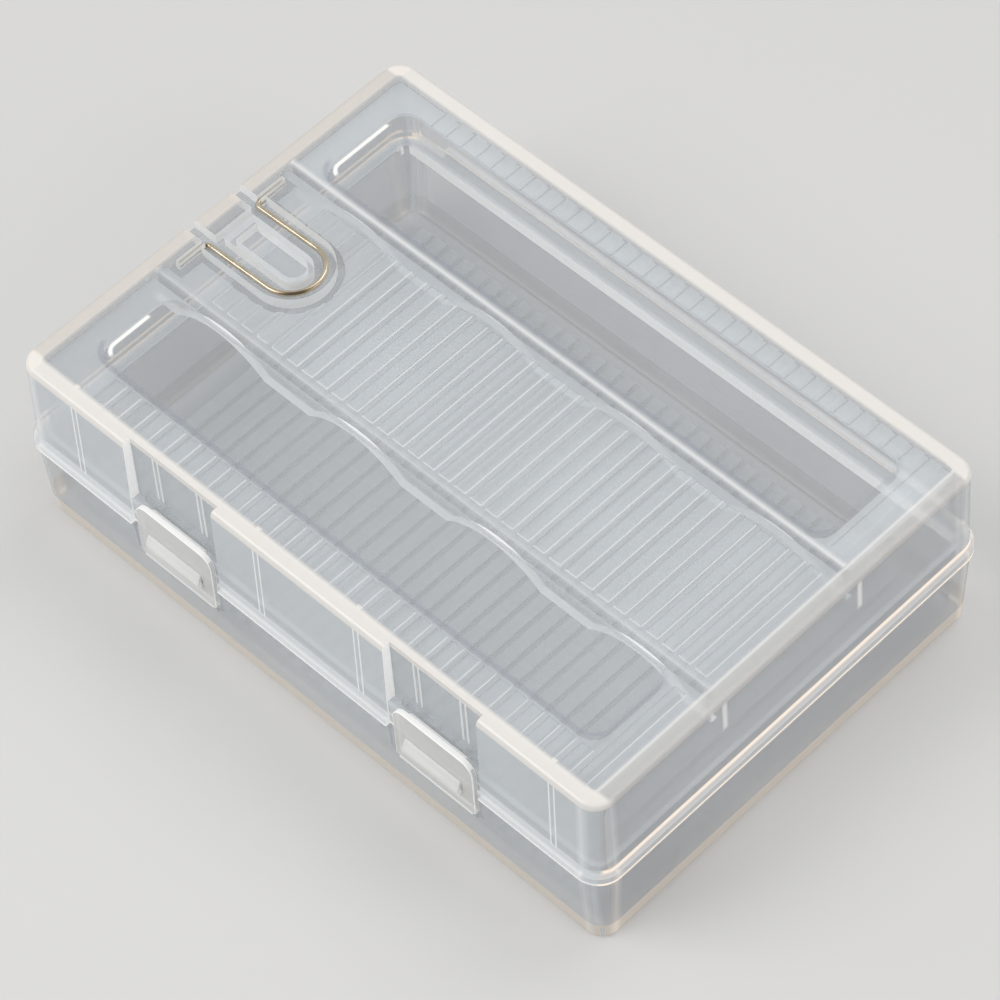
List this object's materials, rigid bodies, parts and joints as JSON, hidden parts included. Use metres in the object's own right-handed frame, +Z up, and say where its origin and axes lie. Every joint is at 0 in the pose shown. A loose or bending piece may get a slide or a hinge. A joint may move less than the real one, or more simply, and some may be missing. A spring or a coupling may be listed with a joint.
{
  "type": "battery storage case",
  "caption": "Clear clamshell case for round cells, with a strap-hinged lid, flap latches and a folding wire hanging bail.",
  "frame": {"origin": "middle of the base's underside, on the table", "axes": "+X along the row of cells, away from the bail; +Y from the latches to the hinge; +Z up, out of the lid"},
  "size_m": [0.1138, 0.0801, 0.033],
  "materials": {
    "clear_shell": "milky see-through polypropylene, smooth with a soft shine",
    "frosted_latch": "milky polypropylene with a finely frosted face",
    "wire": "bright drawn steel wire with a warm tint"
  },
  "bodies": {
    "base": {"base_shell": "clear_shell", "hinge_web": "clear_shell", "latch_web_left": "frosted_latch", "latch_web_right": "frosted_latch"},
    "lid": {"lid_shell": "clear_shell"},
    "latch_left": {"latch_left": "frosted_latch"},
    "latch_right": {"latch_right": "frosted_latch"},
    "bail": {"bail_wire": "wire"}
  },
  "joints": [
    {"name": "lid_hinge", "type": "hinge", "parent": "base", "child": "lid", "pos_m": [0, 0.04007, 0.01505], "axis": [-1, 0, 0], "range_deg": [0, 150], "deforming": ["hinge_web"]},
    {"name": "latch_left_hinge", "type": "hinge", "parent": "base", "child": "latch_left", "pos_m": [-0.02485, -0.03895, 0.0104], "axis": [1, 0, 0], "range_deg": [0, 150], "deforming": ["latch_web_left"]},
    {"name": "latch_right_hinge", "type": "hinge", "parent": "base", "child": "latch_right", "pos_m": [0.02595, -0.03895, 0.0104], "axis": [1, 0, 0], "range_deg": [0, 150], "deforming": ["latch_web_right"]},
    {"name": "bail_hinge", "type": "hinge", "parent": "lid", "child": "bail", "pos_m": [-0.052, 0, 0.0318], "axis": [0, -1, 0], "range_deg": [0, 175]}
  ]
}
